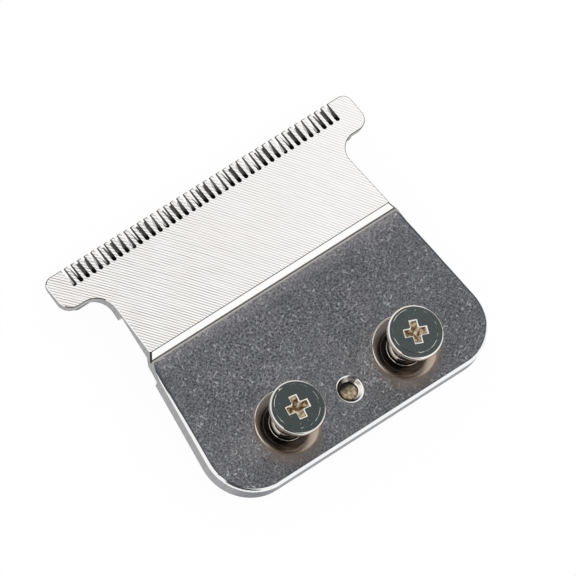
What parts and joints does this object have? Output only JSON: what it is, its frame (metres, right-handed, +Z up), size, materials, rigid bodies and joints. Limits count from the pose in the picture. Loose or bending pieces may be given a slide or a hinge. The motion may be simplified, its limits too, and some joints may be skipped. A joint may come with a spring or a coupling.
{
  "type": "hair clipper blade set",
  "caption": "T-shaped trimmer blade set: ground comb plate with captive mounting screws, and below it a sprung cutter that slides from side to side, driven through a slotted yoke.",
  "frame": {"origin": "middle of the blade set's footprint, on the surface that it rests on", "axes": "+X along the tooth line, +Y towards the tooth tips, +Z up, out of the skin side"},
  "size_m": [0.0398, 0.031, 0.0099],
  "materials": {
    "blade_steel": "satin, ground in front",
    "cutter_steel": "ground",
    "yoke_plastic": "moulded, matte",
    "spring_steel": "rolled",
    "screw_steel": "plated",
    "screw_chrome": "bright nickel plated"
  },
  "bodies": {
    "plate_set": {"fixed_blade": "blade_steel", "tension_spring": "spring_steel", "spring_screw": "screw_steel", "mounting_screw_left": "screw_chrome", "mounting_screw_right": "screw_chrome"},
    "cutter_set": {"moving_blade": "cutter_steel", "drive_yoke": "yoke_plastic"}
  },
  "joints": [
    {"name": "cutter_slide", "type": "slide", "parent": "plate_set", "child": "cutter_set", "axis": [1, 0, 0], "range_m": [-0.0012, 0.0012]}
  ]
}
